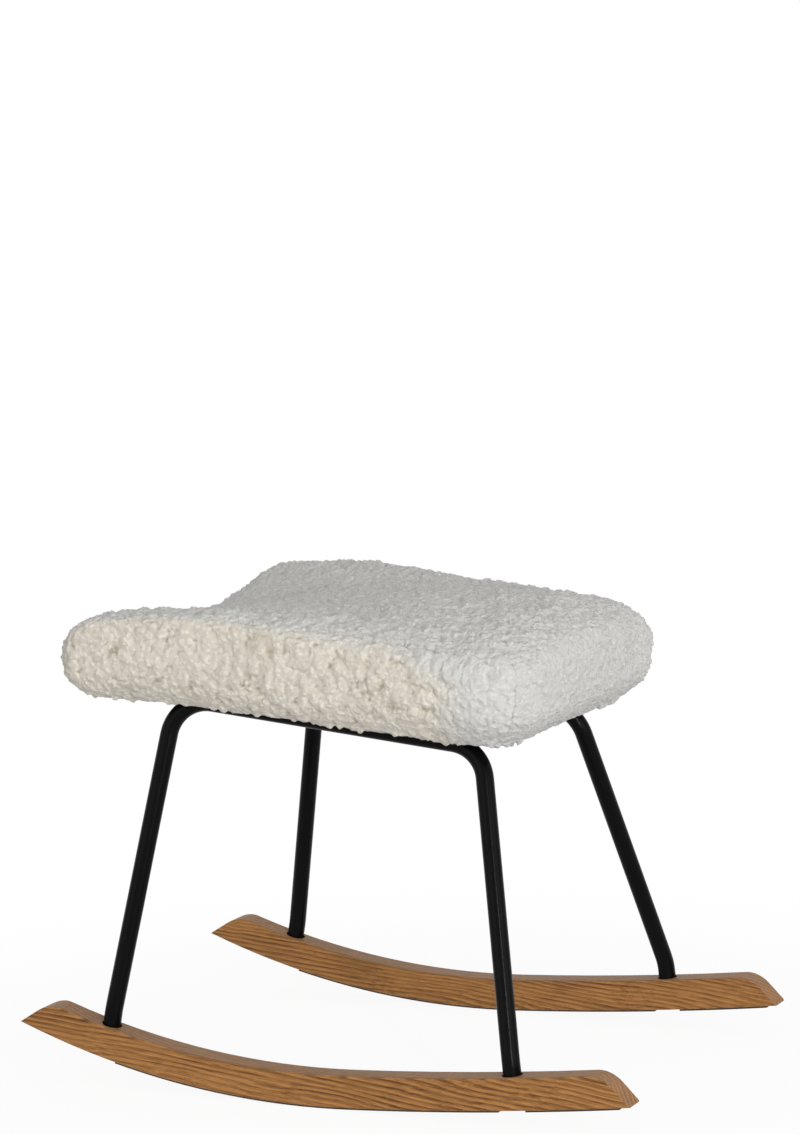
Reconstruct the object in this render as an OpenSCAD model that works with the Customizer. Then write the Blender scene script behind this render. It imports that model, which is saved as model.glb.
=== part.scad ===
// Rocking footstool: two wooden rockers, two bent steel side frames and a padded fleece seat.
// Millimetres. +X runs along the rockers to the low end of the seat, +Y to the far side, +Z up.
// The origin is on the floor, under the middle of the rockers. The stool stands at rest.

/* [Rockers] */
// Length of a rocker from tip to tip
rocker_length = 589.5; // [540:1:660]
// Thickness of a rocker from side to side
rocker_thickness = 25; // [24:0.5:34]
// Height of a rocker between its curved faces
rocker_height = 29; // [28:0.5:45]
// Distance between the middles of the two rockers
rocker_spacing = 370; // [340:1:420]
// Radius of the underside where it touches the floor
belly_radius = 795; // [700:5:900]
// Radius of the flatter underside towards the low end
toe_radius = 3400; // [2600:50:5000]
// Distance from the resting point back to the middle of the rocker
belly_offset = 10.5; // [5:0.5:25]
// Distance from the resting point to where the flatter curve starts
belly_reach = 41.5; // [30:0.5:60]
// Angle of the bevel at each end, against the curve
nose_angle = 53; // [45:1:65]
// Radius that blends each bevel into the top
nose_radius = 30; // [15:1:36]
// Radius of the eased long edges
edge_radius = 2; // [1:0.5:4]

/* [Glide strips] */
// Thickness of the strips under the rockers
strip_thickness = 1.5; // [1:0.25:4]
// Width of the strips
strip_width = 20; // [12:0.5:22]
// Length left free on each side of a bolt
strip_gap = 12.6; // [9:0.2:20]
// Length left free at the low tip
strip_end_margin = 10; // [5:1:40]

/* [Side frames] */
// Outer diameter of the steel tube
tube_diameter = 16; // [14:0.5:19]
// Wall of the steel tube
tube_wall = 1.5; // [1:0.1:2.5]
// Height of the bar's axis at its high corner
frame_height = 349.1; // [325:1:372]
// Place of the high corner along the rockers, behind the middle
high_corner_back = 150.4; // [140:1:165]
// Slope of the seat
seat_slope = 8; // [6:0.1:11]
// Distance of the bars' high corners in from the sides of the pad
high_bar_inset = 59; // [54:0.5:66]
// Distance of the bars' low corners in from the sides of the pad
low_bar_inset = 56; // [52:0.5:62]
// Centre radius of the bends at the corners
corner_bend = 36; // [28:1:45]
// Centre radius of the bends above the rockers
ankle_bend = 45; // [30:1:60]
// Height of those bends above the rocker
ankle_height = 14; // [10:1:30]
// Distance of the high legs from the rockers' high tips
high_leg_inset = 88.15; // [80:0.05:96]
// Distance of the low legs from the rockers' low tips
low_leg_inset = 111.55; // [102:0.05:122]
// Lean of the high legs' ends
high_leg_lean = 10.8; // [8:0.1:14]
// Lean of the low legs' ends
low_leg_lean = 5.5; // [3:0.1:8]
// Diameter of the cross tubes
cross_diameter = 14; // [12:0.5:16]
// Distance of the high cross tube from the high corners
high_cross_inset = 54; // [44:1:70]
// Distance of the low cross tube from the low corners
low_cross_inset = 54; // [44:1:70]

/* [Leg joints] */
// Depth of the tube ends in the rockers
socket_depth = 13; // [10:0.5:13]
// Gap around the tube ends in the rockers
socket_clearance = 1.2; // [0.5:0.1:1.5]
// Wood left between a tube end and its bolt's washer
web_thickness = 7; // [6:0.5:8]
// Diameter of the holes for the bolt heads
counterbore_diameter = 14; // [13.5:0.5:17]
// Diameter of the bolts and screws
bolt_diameter = 6; // [5:0.5:6]
// Length of the threaded plugs in the tube ends
plug_length = 18; // [14:1:30]

/* [Seat base] */
// Thickness of the corner plates
plate_thickness = 3; // [2:0.5:5]
// Length of the corner plates along the bars
plate_length = 46; // [42:1:60]
// Width of the corner plates
plate_width = 46; // [42:1:54]
// Thickness of the plywood board
board_thickness = 12; // [11:0.5:18]
// Thickness of the bottom cloth
cloth_thickness = 0.8; // [0.5:0.1:1.5]

/* [Seat pad] */
// Length of the pad along the slope
pad_length = 425; // [410:1:440]
// Width of the pad at its high end
pad_high_width = 409; // [392:1:424]
// Width of the pad at its low end
pad_low_width = 324; // [308:1:338]
// Thickness of the pad along its long sides
pad_thickness = 89; // [82:1:100]
// Reach of the pad beyond the bars' high corners
pad_high_reach = 90; // [80:1:100]
// Reach of the pad beyond the bars' low corners
pad_low_reach = 54; // [46:1:62]
// Thickness of the fleece with its pile
fleece_thickness = 8; // [6:0.5:12]
// Radius of the pad's high corners seen from above
high_corner_radius = 29; // [24:1:50]
// Radius of the pad's low corners seen from above
low_corner_radius = 54; // [30:1:80]
// Height of the rounding along the top edges
top_round = 27; // [18:1:32]
// Height of the rounding under the high end
high_end_round = 9; // [8:1:30]
// Height of the rounding under the low end
low_end_round = 38; // [12:1:44]
// Sag of the fleece's lower edge at the high end
hem_sag = 15; // [0:0.5:17]
// Rise of the fleece's lower edge at the low end
hem_rise = 5; // [0:0.5:5]
// Depth of the dip in the high end
saddle_dip = 32; // [5:1:34]
// Height of the crown over the rest of the top
top_crown = 15; // [0:1:18]
// Fall of the top towards the high end
high_fall = 26; // [10:1:32]
// Rise of the top towards the low end
low_rise = 9; // [0:1:14]
// Swell of the two ends at mid height
end_swell = 8; // [0:1:10]
// Swell of the two long sides at mid height
side_swell = 4; // [0:1:6]
// Draw of the long sides between their corners
side_draw = 5; // [0:1:8]
// Draw of the high end between its corners
end_draw = 1; // [0:1:6]
// Distance left between the fleece's turned hem and the bars
hem_margin = 21; // [16:0.5:30]

/* [Hidden] */

// Colours
wood_colour = "#9a6a3f";
steel_colour = "#1c1b19";
zinc_colour = "#b9bcc0";
strip_colour = "#2b221d";
ply_colour = "#c8a878";
foam_colour = "#e8d9a8";
fleece_colour = "#d9d8d3";
cloth_colour = "#2a2a2c";

// Faces of round things, and overrun of every cut
fine = 32;
bend_fine = 60;
arc_fine = 720;
cut = 1;

// The high and low ends are 0 and 1, the near and far sides -1 and 1
ends = [0, 1];
sides = [-1, 1];

function unit(v) = v / norm(v);
function mix(a, b, share) = a + (b - a) * share;
function mirrored(p, side) = [p.x, p.y * side, p.z];

// Rocker curves, as angles from straight down about each arc's centre
belly_x = -belly_offset;
belly_centre = [belly_x, strip_thickness + belly_radius];
join_angle = asin(belly_reach / belly_radius);
toe_centre = belly_centre + (toe_radius - belly_radius) * [-sin(join_angle), cos(join_angle)];
high_tip_angle = asin((-rocker_length / 2 - belly_centre.x) / belly_radius);
low_tip_angle = asin((rocker_length / 2 - toe_centre.x) / toe_radius);
function on_arc(centre, radius, angle) = centre + radius * [sin(angle), -cos(angle)];

// Where a leg's axis meets the top of its rocker, and the way its end leans
leg_x = [high_leg_inset - rocker_length / 2, rocker_length / 2 - low_leg_inset];
leg_lean = [high_leg_lean, -low_leg_lean];
leg_centre = [belly_centre, toe_centre];
leg_arc = [belly_radius, toe_radius];
function leg_top(end) =
    let (radius = leg_arc[end] - rocker_height)
    let (angle = asin((leg_x[end] - leg_centre[end].x) / radius))
    on_arc(leg_centre[end], radius, angle);
function leg_foot(end, side) = [leg_x[end], side * rocker_spacing / 2, leg_top(end)[1]];
function leg_axis(end) = [sin(leg_lean[end]), 0, cos(leg_lean[end])];
function bolt_x(end) = leg_x[end] - sin(leg_lean[end]) * rocker_height;

// Seat plane: its origin is midway between the high corners, on the bars' axes
tube_radius = tube_diameter / 2;
tube_bore = tube_diameter - 2 * tube_wall;
weld_gap = 0.15;
joint_lap = 0.5;
joint_step = 0.03;
bar_length = pad_length - pad_high_reach - pad_low_reach;
high_corner_width = pad_high_width - 2 * high_bar_inset;
low_corner_width = pad_low_width - 2 * low_bar_inset;
hem_width = high_bar_inset - tube_radius - hem_margin;
high_corner = [-high_corner_back, high_corner_width / 2, frame_height];
low_corner = [
    high_corner.x + bar_length * cos(seat_slope),
    low_corner_width / 2,
    high_corner.z - bar_length * sin(seat_slope)
];
cross_along = [high_cross_inset, bar_length - low_cross_inset];
function bar_y(along) = mix(high_corner_width, low_corner_width, along / bar_length) / 2;
bar_turn = atan2((high_corner_width - low_corner_width) / 2, bar_length);

// Corner plates lie on the tubes, with their screw holes inside the corners
plate_margin = tube_radius / 2;
screw_inset = tube_radius + bolt_diameter * 1.8;
screw_along = [cross_along[0] + screw_inset, cross_along[1] - screw_inset];
function screw_y(end) = bar_y(screw_along[end]) - screw_inset;

// Heights above the seat plane
plate_top = tube_radius + plate_thickness;
board_bottom = plate_top + cloth_thickness;
board_top = board_bottom + board_thickness;
pad_bottom = board_bottom - fleece_thickness;

// Fasteners, in shares of their thread
head_width = bolt_diameter * 1.75;
head_height = bolt_diameter * 0.55;
washer_width = bolt_diameter * 2.1;
washer_thickness = bolt_diameter * 0.25;
socket_width = bolt_diameter * 0.67;
bolt_clearance = 0.3;
thread_clearance = 0.1;
leg_bolt_length = 20;
seat_screw_length = 16;
tee_flange = bolt_diameter * 3.2;
tee_flange_thickness = 1.5;
tee_barrel = bolt_diameter * 1.35;
tee_length = 9;

// Soft seat: clearance between the layers, and counts of faces
layer_clearance = 0.6;
corner_steps = 3;
length_steps = 10;
width_steps = 8;
height_steps = 3;
hem_edge = 3;
hem_belly_share = 0.55;
cloth_margin = 2;
high_fall_share = 0.28;
low_rise_share = 0.15;
saddle_reach_share = 0.8;
corner_growth = 5.5;
sag_growth = 3.5;

pad_width = (pad_high_width + pad_low_width) / 2;
pad_taper = (pad_high_width - pad_low_width) / (pad_high_width + pad_low_width);
board_level = board_bottom - pad_bottom;
foam_level = board_top - pad_bottom;

module seat_plane() {
    translate([high_corner.x, 0, high_corner.z]) rotate([0, seat_slope, 0]) children();
}

module pad_place() {
    seat_plane() translate([pad_length / 2 - pad_high_reach, 0, pad_bottom]) children();
}

// Rockers

// Section of a rocker with its long edges eased, its underside on the y axis
module rocker_section() {
    half = rocker_thickness / 2;
    corners = [[0, half], [-rocker_height, half], [-rocker_height, -half], [0, -half]];
    inward = [[-1, -1], [1, -1], [1, 1], [-1, 1]];
    polygon([
        for (i = [0:3], step = [0:30:90])
            let (turn = 90 * i + step)
            corners[i] + edge_radius * inward[i] + edge_radius * [cos(turn), sin(turn)]
    ]);
}

// Section of a strip, under the same y axis
module strip_section() {
    translate([0, -strip_width / 2]) square([strip_thickness, strip_width]);
}

// Children placed where the two arcs meet, with x pointing out of the underside
module at_join() {
    point = on_arc(belly_centre, belly_radius, join_angle);
    translate([point.x, 0, point.y]) rotate([90, 0, 0]) rotate([0, 0, join_angle - 90]) children();
}

// A section swept about an arc's centre, from the join towards the high end or the low end
module swept_back(angle) {
    translate([-belly_radius, 0, 0]) rotate([180, 0, 0])
        rotate_extrude(angle = angle, $fn = arc_fine) translate([belly_radius, 0]) children();
}

module swept_ahead(angle) {
    translate([-toe_radius, 0, 0])
        rotate_extrude(angle = angle, $fn = arc_fine) translate([toe_radius, 0]) children();
}

// What the bevel and its blend take off one end; the bevel climbs inwards from the tip
module nose_cut(centre, arc, tip_angle, inwards) {
    top = arc - rocker_height;
    tip = on_arc(centre, arc, tip_angle);
    bevel_turn = tip_angle + inwards * nose_angle;
    bevel = inwards * [cos(bevel_turn), sin(bevel_turn)];
    normal = [sin(bevel_turn), -cos(bevel_turn)];
    from_tip = centre - tip;
    reach = (nose_radius - from_tip * normal) / (top + nose_radius);
    blend_angle = bevel_turn - inwards * acos(reach);
    blend = on_arc(centre, top + nose_radius, blend_angle);
    outside = 2 * rocker_height;
    rotate([90, 0, 0]) linear_extrude(rocker_thickness + 2 * cut, center = true) difference() {
        polygon([
            tip,
            blend - nose_radius * normal,
            on_arc(centre, top, blend_angle),
            on_arc(centre, top - outside, blend_angle),
            tip - outside * inwards * [1, 0] - outside * normal,
            tip - outside * bevel
        ]);
        translate(blend) circle(r = nose_radius, $fn = fine);
    }
}

// Blind socket for the tube, hole for the bolt and counterbore for its head
module leg_holes(end) {
    translate(leg_foot(end, 0)) rotate([0, leg_lean[end], 0]) {
        translate([0, 0, -socket_depth])
            cylinder(h = socket_depth + rocker_height / 2, r = tube_radius + socket_clearance, $fn = fine);
        translate([0, 0, -rocker_height])
            cylinder(h = rocker_height, d = bolt_diameter + 2 * bolt_clearance, $fn = fine);
        translate([0, 0, -socket_depth - web_thickness - rocker_height])
            cylinder(h = rocker_height, d = counterbore_diameter, $fn = fine);
    }
}

module rocker(side) {
    color(wood_colour) translate([0, side * rocker_spacing / 2, 0]) difference() {
        at_join() {
            swept_back(join_angle - high_tip_angle) rocker_section();
            swept_ahead(low_tip_angle - join_angle) rocker_section();
        }
        nose_cut(belly_centre, belly_radius, high_tip_angle, 1);
        nose_cut(toe_centre, toe_radius, low_tip_angle, -1);
        for (end = ends) leg_holes(end);
    }
}

// Glide strips

function belly_turn(x) = asin((x - belly_centre.x) / belly_radius);
function toe_turn(x) = asin((x - toe_centre.x) / toe_radius);

module middle_strip(side) {
    color(strip_colour) translate([0, side * rocker_spacing / 2, 0]) at_join() {
        swept_back(join_angle - belly_turn(bolt_x(0) + strip_gap)) strip_section();
        swept_ahead(toe_turn(bolt_x(1) - strip_gap) - join_angle) strip_section();
    }
}

module end_strip(side) {
    from = toe_turn(bolt_x(1) + strip_gap);
    to = toe_turn(rocker_length / 2 - strip_end_margin);
    color(strip_colour) translate([0, side * rocker_spacing / 2, 0]) at_join()
        translate([-toe_radius, 0, 0]) rotate([0, 0, from - join_angle]) translate([toe_radius, 0, 0])
            swept_ahead(to - from) strip_section();
}

// Side frames

function way(points, i) = unit(points[i + 1] - points[i]);
function bend_angle(points, i) = acos(way(points, i - 1) * way(points, i));
function bend_leg(points, radii, i) = radii[i] * tan(bend_angle(points, i) / 2);

// A rod through the points, with a centre radius for each inner point
// The bends reach a little into the straights and are a hair thinner, so that they join cleanly
module bent_rod(points, radii, width) {
    last = len(points) - 1;
    for (i = [0:last - 1]) {
        from = points[i] + way(points, i) * (i == 0 ? 0 : bend_leg(points, radii, i));
        to = points[i + 1] - way(points, i) * (i == last - 1 ? 0 : bend_leg(points, radii, i + 1));
        along = to - from;
        translate(from) rotate([0, acos(along.z / norm(along)), atan2(along.y, along.x)])
            cylinder(h = norm(along), d = width, $fn = fine);
    }
    for (i = [1:last - 1]) {
        before = way(points, i - 1);
        inward = unit(way(points, i) - (way(points, i) * before) * before);
        axis = cross(-inward, before);
        middle = points[i] - before * bend_leg(points, radii, i) + inward * radii[i];
        lap = asin(joint_lap / radii[i]);
        multmatrix([
            [-inward.x, before.x, axis.x, middle.x],
            [-inward.y, before.y, axis.y, middle.y],
            [-inward.z, before.z, axis.z, middle.z],
            [0, 0, 0, 1]
        ])
            rotate([0, 0, -lap]) rotate_extrude(angle = bend_angle(points, i) + 2 * lap, $fn = bend_fine)
                translate([radii[i], 0]) circle(d = width - 2 * joint_step, $fn = fine);
    }
}

module side_frame(side) {
    foot = [for (end = ends) leg_foot(end, side)];
    points = [
        foot[0] - leg_axis(0) * socket_depth,
        foot[0] + leg_axis(0) * ankle_height,
        mirrored(high_corner, side),
        mirrored(low_corner, side),
        foot[1] + leg_axis(1) * ankle_height,
        foot[1] - leg_axis(1) * socket_depth
    ];
    ends_open = [
        points[0] - leg_axis(0) * cut,
        points[1], points[2], points[3], points[4],
        points[5] - leg_axis(1) * cut
    ];
    radii = [0, ankle_bend, corner_bend, corner_bend, ankle_bend, 0];
    color(steel_colour) difference() {
        bent_rod(points, radii, tube_diameter);
        bent_rod(ends_open, radii, tube_bore);
    }
}

// A solid rod on a bar's axis, as long as the bar, which cuts what is welded to it
module bar_rod(side) {
    translate([0, side * high_corner_width / 2, 0]) rotate([0, 90, -side * bar_turn])
        cylinder(h = bar_length / cos(bar_turn), d = tube_diameter + 2 * weld_gap, $fn = fine);
}

// Cross tubes, their ends fitted round the bars
module cross_tube(end) {
    reach = bar_y(cross_along[end]);
    color(steel_colour) seat_plane() difference() {
        translate([cross_along[end], 0, tube_radius - cross_diameter / 2]) rotate([90, 0, 0])
            linear_extrude(2 * reach, center = true) difference() {
                circle(d = cross_diameter, $fn = fine);
                circle(d = cross_diameter - 2 * tube_wall, $fn = fine);
            }
        for (side = sides) bar_rod(side);
    }
}

// A corner plate over the joint of a bar and a cross tube, its inner corner cut off
module corner_plate(end, side) {
    way = end == 0 ? 1 : -1;
    color(steel_colour) seat_plane()
        translate([cross_along[end], side * bar_y(cross_along[end]), tube_radius])
            rotate([0, 0, -side * bar_turn]) linear_extrude(plate_thickness) difference() {
                polygon([
                    [-way * plate_margin, side * plate_margin],
                    [way * plate_length, side * plate_margin],
                    [way * plate_length, -side * plate_width / 2],
                    [way * plate_length / 2, -side * plate_width],
                    [-way * plate_margin, -side * plate_width]
                ]);
                rotate([0, 0, side * bar_turn])
                    translate([
                        screw_along[end] - cross_along[end],
                        side * (screw_y(end) - bar_y(cross_along[end]))
                    ])
                        circle(d = bolt_diameter + 2 * bolt_clearance, $fn = fine);
            }
}

// Fasteners

// Dome-headed bolt with its shank up the z axis from zero and its head below
module socket_bolt(length) {
    difference() {
        union() {
            cylinder(h = length, d = bolt_diameter, $fn = fine);
            translate([0, 0, -head_height])
                cylinder(h = head_height, d1 = head_width * 0.6, d2 = head_width, $fn = fine);
        }
        translate([0, 0, -head_height - cut])
            cylinder(h = cut + head_height * 0.7, d = socket_width, $fn = 6);
    }
}

module flat_washer() {
    difference() {
        cylinder(h = washer_thickness, d = washer_width, $fn = fine);
        translate([0, 0, -cut])
            cylinder(h = washer_thickness + 2 * cut, d = bolt_diameter + 2 * bolt_clearance, $fn = fine);
    }
}

module at_legs() {
    for (end = ends, side = sides)
        translate(leg_foot(end, side)) rotate([0, leg_lean[end], 0]) children();
}

module leg_plugs() {
    color(zinc_colour) at_legs() translate([0, 0, -socket_depth]) difference() {
        cylinder(h = plug_length, d = tube_bore, $fn = fine);
        translate([0, 0, -cut])
            cylinder(h = plug_length + 2 * cut, d = bolt_diameter + 2 * thread_clearance, $fn = fine);
    }
}

module leg_washers() {
    color(zinc_colour) at_legs()
        translate([0, 0, -socket_depth - web_thickness - washer_thickness]) flat_washer();
}

module leg_bolts() {
    color(zinc_colour) at_legs()
        translate([0, 0, -socket_depth - web_thickness - washer_thickness])
            socket_bolt(leg_bolt_length);
}

module at_screws() {
    seat_plane() for (end = ends, side = sides)
        translate([screw_along[end], side * screw_y(end), 0]) children();
}

module seat_washers() {
    color(zinc_colour) at_screws() translate([0, 0, tube_radius - washer_thickness]) flat_washer();
}

module seat_screws() {
    color(zinc_colour) at_screws()
        translate([0, 0, tube_radius - washer_thickness]) socket_bolt(seat_screw_length);
}

// Flanged nuts let into the top of the board
module tee_nuts() {
    color(zinc_colour) at_screws() translate([0, 0, board_top]) difference() {
        union() {
            translate([0, 0, -tee_flange_thickness])
                cylinder(h = tee_flange_thickness, d = tee_flange, $fn = fine);
            translate([0, 0, -tee_length])
                cylinder(h = tee_length, d = tee_barrel, $fn = fine);
        }
        translate([0, 0, -tee_length - cut])
            cylinder(h = tee_length + 2 * cut, d = bolt_diameter + 2 * thread_clearance, $fn = fine);
    }
}

// Soft seat
// The pad is a box with rounded edges. A step along one of its axes is a pair: the place on the
// flat stretch from -1 to 1, and the turn round the edge from -1 to 1, where both edges are 45 degrees.

function steps(flats) = concat(
    [for (i = [0:corner_steps - 1]) [-1, i / corner_steps - 1]],
    [for (i = [0:flats]) [2 * i / flats - 1, 0]],
    [for (i = [1:corner_steps]) [1, i / corner_steps]]
);
length_way = steps(length_steps);
width_way = steps(width_steps);
height_way = steps(height_steps);
function turned(list) = [for (i = [len(list) - 1:-1:0]) list[i]];
function tail(list) = [for (i = [1:len(list) - 1]) list[i]];

// Share of the dip that is left at a place along the pad
function saddle(along_share) =
    let (t = min(1, (along_share + 1) / (2 * saddle_reach_share)))
    (1 + cos(180 * t)) / 2;
function fall(share, start) = pow(max(0, (share - start) / (1 - start)), 2);
function swell(height_share) = 1 - pow(2 * height_share - 1, 2);

// Radius of the pad's edges seen from above, at a share of its length from the high end
function edge_round(share) = mix(high_corner_radius, low_corner_radius, pow(share, corner_growth));

// Steps once round the pad
ring_way = concat(
    [for (u = length_way) [u, [-1, -1]]],
    [for (v = tail(width_way)) [[1, 1], v]],
    [for (u = tail(turned(length_way))) [u, [1, 1]]],
    [for (v = tail(turned(width_way))) [[-1, -1], v]]
);
ring_count = len(ring_way) - 1;

// The upright box is drawn to the pad's form: tapered, drawn in, swollen, dipped and rounded off.
// All layers over the foam move down together, so the fleece keeps its thickness.
function pad_form(p) =
    let (a = 2 * p.x / pad_length, b = 2 * p.y / pad_width, g = p.z / pad_thickness)
    let (lift = min(1, max(0, (p.z - foam_level) / (pad_thickness - 2 * fleece_thickness - foam_level))))
    let (hem_move = hem_rise * fall(a, 0) - hem_sag * pow((1 - a) / 2, sag_growth))
    let (side_move = side_swell * swell(g) - side_draw * (1 - a * a))
    let (top_move = (1 - b * b) * (top_crown * (1 - saddle(a)) - saddle_dip * saddle(a))
        - high_fall * fall(-a, high_fall_share) + low_rise * fall(a, low_rise_share))
    [
        p.x + a * end_swell * swell(g) + end_draw * (1 - b * b) * pow(max(0, -a), 2),
        p.y * (1 - pad_taper * a) + b * side_move,
        p.z + lift * top_move + hem_move * max(0, 1 - p.z / board_level)
    ];

// A point of the box's skin, inset by the layers outside it and standing on a level
function box_point(u, v, w, inset, level) =
    let (turn = [tan(45 * u[1]), tan(45 * v[1]), tan(45 * w[1])])
    let (n = turn / max(norm(turn), 0.001), share = (u[0] + 1) / 2, edge = edge_round(share))
    let (round_top = top_round - inset, ground = mix(high_end_round, low_end_round, share))
    let (round_low = max(0, ground - inset))
    [
        mix(high_corner_radius - pad_length / 2, pad_length / 2 - low_corner_radius, share)
            + n.x * (edge - inset),
        v[0] * (pad_width / 2 - edge) + n.y * (edge - inset),
        mix(level + round_low, pad_thickness - top_round, (w[0] + 1) / 2)
            + n.z * (n.z > 0 ? round_top : round_low)
    ];
function pad_point(u, v, w, inset, level) = pad_form(box_point(u, v, w, inset, level));

// The outline of the pad's base on the board's level, drawn in by a share of the hem
function base_ring(share, inset) =
    let (shrink = 1 - 2 * share * hem_width / pad_width)
    [for (i = [0:ring_count - 1])
        let (p = box_point(ring_way[i][0], ring_way[i][1], [-1, -1], inset, board_level))
        let (q = pad_form([p.x * shrink, p.y * shrink, board_level])) [q.x, q.y]];

// The inset and the level of the fleece's two faces
fleece_faces = [[0, 0], [fleece_thickness, board_level]];

// Rows of the hem under the board, from the lower edge inwards; share 1 is the hem's own edge
function hem_height(face, share) =
    face == 1 ? board_level : share < 1 ? 0 : board_level - hem_edge;
function hem_point(u, v, share, face) =
    let (p = box_point(u, v, [-1, -1], fleece_faces[face][0], fleece_faces[face][1]))
    let (shrink = 1 - 2 * share * hem_width / pad_width)
    pad_form([p.x * shrink, p.y * shrink, hem_height(face, share)]);

function main_rows(face) =
    let (inset = fleece_faces[face][0], level = fleece_faces[face][1])
    let (hem = [1, hem_belly_share])
    concat(
        [for (s = hem) [for (v = width_way) hem_point([-1, -1], v, s, face)]],
        [for (w = height_way) [for (v = width_way) pad_point([-1, -1], v, w, inset, level)]],
        [for (u = tail(length_way)) [for (v = width_way) pad_point(u, v, [1, 1], inset, level)]],
        [for (w = tail(turned(height_way))) [for (v = width_way)
            pad_point([1, 1], v, w, inset, level)]],
        [for (s = turned(hem)) [for (v = width_way) hem_point([1, 1], v, s, face)]]
    );

function side_rows(face, side) =
    let (inset = fleece_faces[face][0], level = fleece_faces[face][1])
    concat(
        [for (s = [1, hem_belly_share]) [for (u = length_way)
            hem_point(u, [side, side], s, face)]],
        [for (w = height_way) [for (u = length_way)
            pad_point(u, [side, side], w, inset, level)]]
    );

// A sheet of even thickness between two grids of the same count
module sheet(outer, inner, flip) {
    rows = len(outer);
    columns = len(outer[0]);
    count = rows * columns;
    points = [for (grid = [outer, inner], row = grid, p = row) p];
    function at(face, r, c) = face * count + r * columns + c;
    quads = concat(
        [for (r = [0:rows - 2], c = [0:columns - 2])
            [at(0, r, c), at(0, r, c + 1), at(0, r + 1, c + 1), at(0, r + 1, c)]],
        [for (r = [0:rows - 2], c = [0:columns - 2])
            [at(1, r, c), at(1, r + 1, c), at(1, r + 1, c + 1), at(1, r, c + 1)]],
        [for (r = [0:rows - 2]) [at(0, r, 0), at(0, r + 1, 0), at(1, r + 1, 0), at(1, r, 0)]],
        [for (r = [0:rows - 2]) [at(0, r, columns - 1), at(1, r, columns - 1),
            at(1, r + 1, columns - 1), at(0, r + 1, columns - 1)]],
        [for (c = [0:columns - 2]) [at(0, 0, c), at(1, 0, c), at(1, 0, c + 1), at(0, 0, c + 1)]],
        [for (c = [0:columns - 2]) [at(0, rows - 1, c), at(0, rows - 1, c + 1),
            at(1, rows - 1, c + 1), at(1, rows - 1, c)]]
    );
    triangles = [for (q = quads, half = [[0, 1, 2], [0, 2, 3]]) [for (k = half) q[k]]];
    polyhedron(points, flip ? [for (t = triangles) turned(t)] : triangles);
}

module cover_main_panel() {
    color(fleece_colour) pad_place() sheet(main_rows(0), main_rows(1), false);
}

module cover_side_panel(side) {
    color(fleece_colour) pad_place() sheet(side_rows(0, side), side_rows(1, side), side < 0);
}

module screw_holes(width) {
    for (end = ends, side = sides)
        translate([
            screw_along[end] + pad_high_reach - pad_length / 2,
            side * screw_y(end)
        ])
            circle(d = width, $fn = fine);
}

// The board ends where the hem lies flat against it
module seat_board() {
    ring = base_ring(hem_belly_share, fleece_thickness + layer_clearance);
    color(ply_colour) pad_place() translate([0, 0, board_level]) difference() {
        linear_extrude(board_thickness) polygon(ring);
        translate([0, 0, -cut]) linear_extrude(board_thickness + 2 * cut)
            screw_holes(tee_barrel + 2 * thread_clearance);
        translate([0, 0, board_thickness - tee_flange_thickness])
            linear_extrude(tee_flange_thickness + cut)
                screw_holes(tee_flange + 2 * bolt_clearance);
    }
}

// The cloth ends inside the hem
module bottom_cloth() {
    share = 1 + cloth_margin / hem_width;
    color(cloth_colour) pad_place() translate([0, 0, board_level - cloth_thickness])
        linear_extrude(cloth_thickness) difference() {
            polygon(base_ring(share, fleece_thickness));
            screw_holes(bolt_diameter + 2 * bolt_clearance);
        }
}

// Foam, closed: flat on the board, out over its edge, sides up to the top edges, then the top
module foam_pad() {
    inset = fleece_thickness + layer_clearance;
    function foam_point(u, v, w) =
        let (p = box_point(u, v, w, inset, board_level)) pad_form([p.x, p.y, max(p.z, foam_level)]);
    seat_ring = [for (p = base_ring(hem_belly_share, inset)) [p.x, p.y, foam_level]];
    rows = [for (w = height_way) if (w[0] > 0 || w[1] == 0) w];
    count = ring_count;
    columns = len(width_way);
    wall = concat(seat_ring, [for (w = rows, i = [0:count - 1])
        foam_point(ring_way[i][0], ring_way[i][1], w)]);
    top = [for (u = length_way, v = width_way) foam_point(u, v, [1, 1])];
    wall_faces = [for (r = [0:len(rows) - 1], i = [0:count - 1])
        let (j = (i + 1) % count)
        [r * count + i, r * count + j, (r + 1) * count + j, (r + 1) * count + i]];
    top_faces = [for (i = [0:len(length_way) - 2], j = [0:columns - 2])
        let (a = len(wall) + i * columns + j, b = a + columns)
        [a, b, b + 1, a + 1]];
    // The wall's last row lies on the top's border, so that row takes the border's points
    function border(k) = let (i = k % count, n = len(length_way) - 1, m = columns - 1)
        len(wall) + (i <= n ? i * columns
            : i <= n + m ? n * columns + i - n
            : i <= 2 * n + m ? (2 * n + m - i) * columns + m
            : 2 * (n + m) - i);
    last = len(rows) * count;
    function joined(k) = k >= last && k < last + count ? border(k - last) : k;
    quads = concat(wall_faces, top_faces);
    triangles = [for (q = quads, half = [[2, 1, 0], [3, 2, 0]]) [for (k = half) joined(q[k])]];
    color(foam_colour) pad_place()
        polyhedron(concat(wall, top), concat(triangles, [[for (i = [0:count - 1]) i]]));
}

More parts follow.
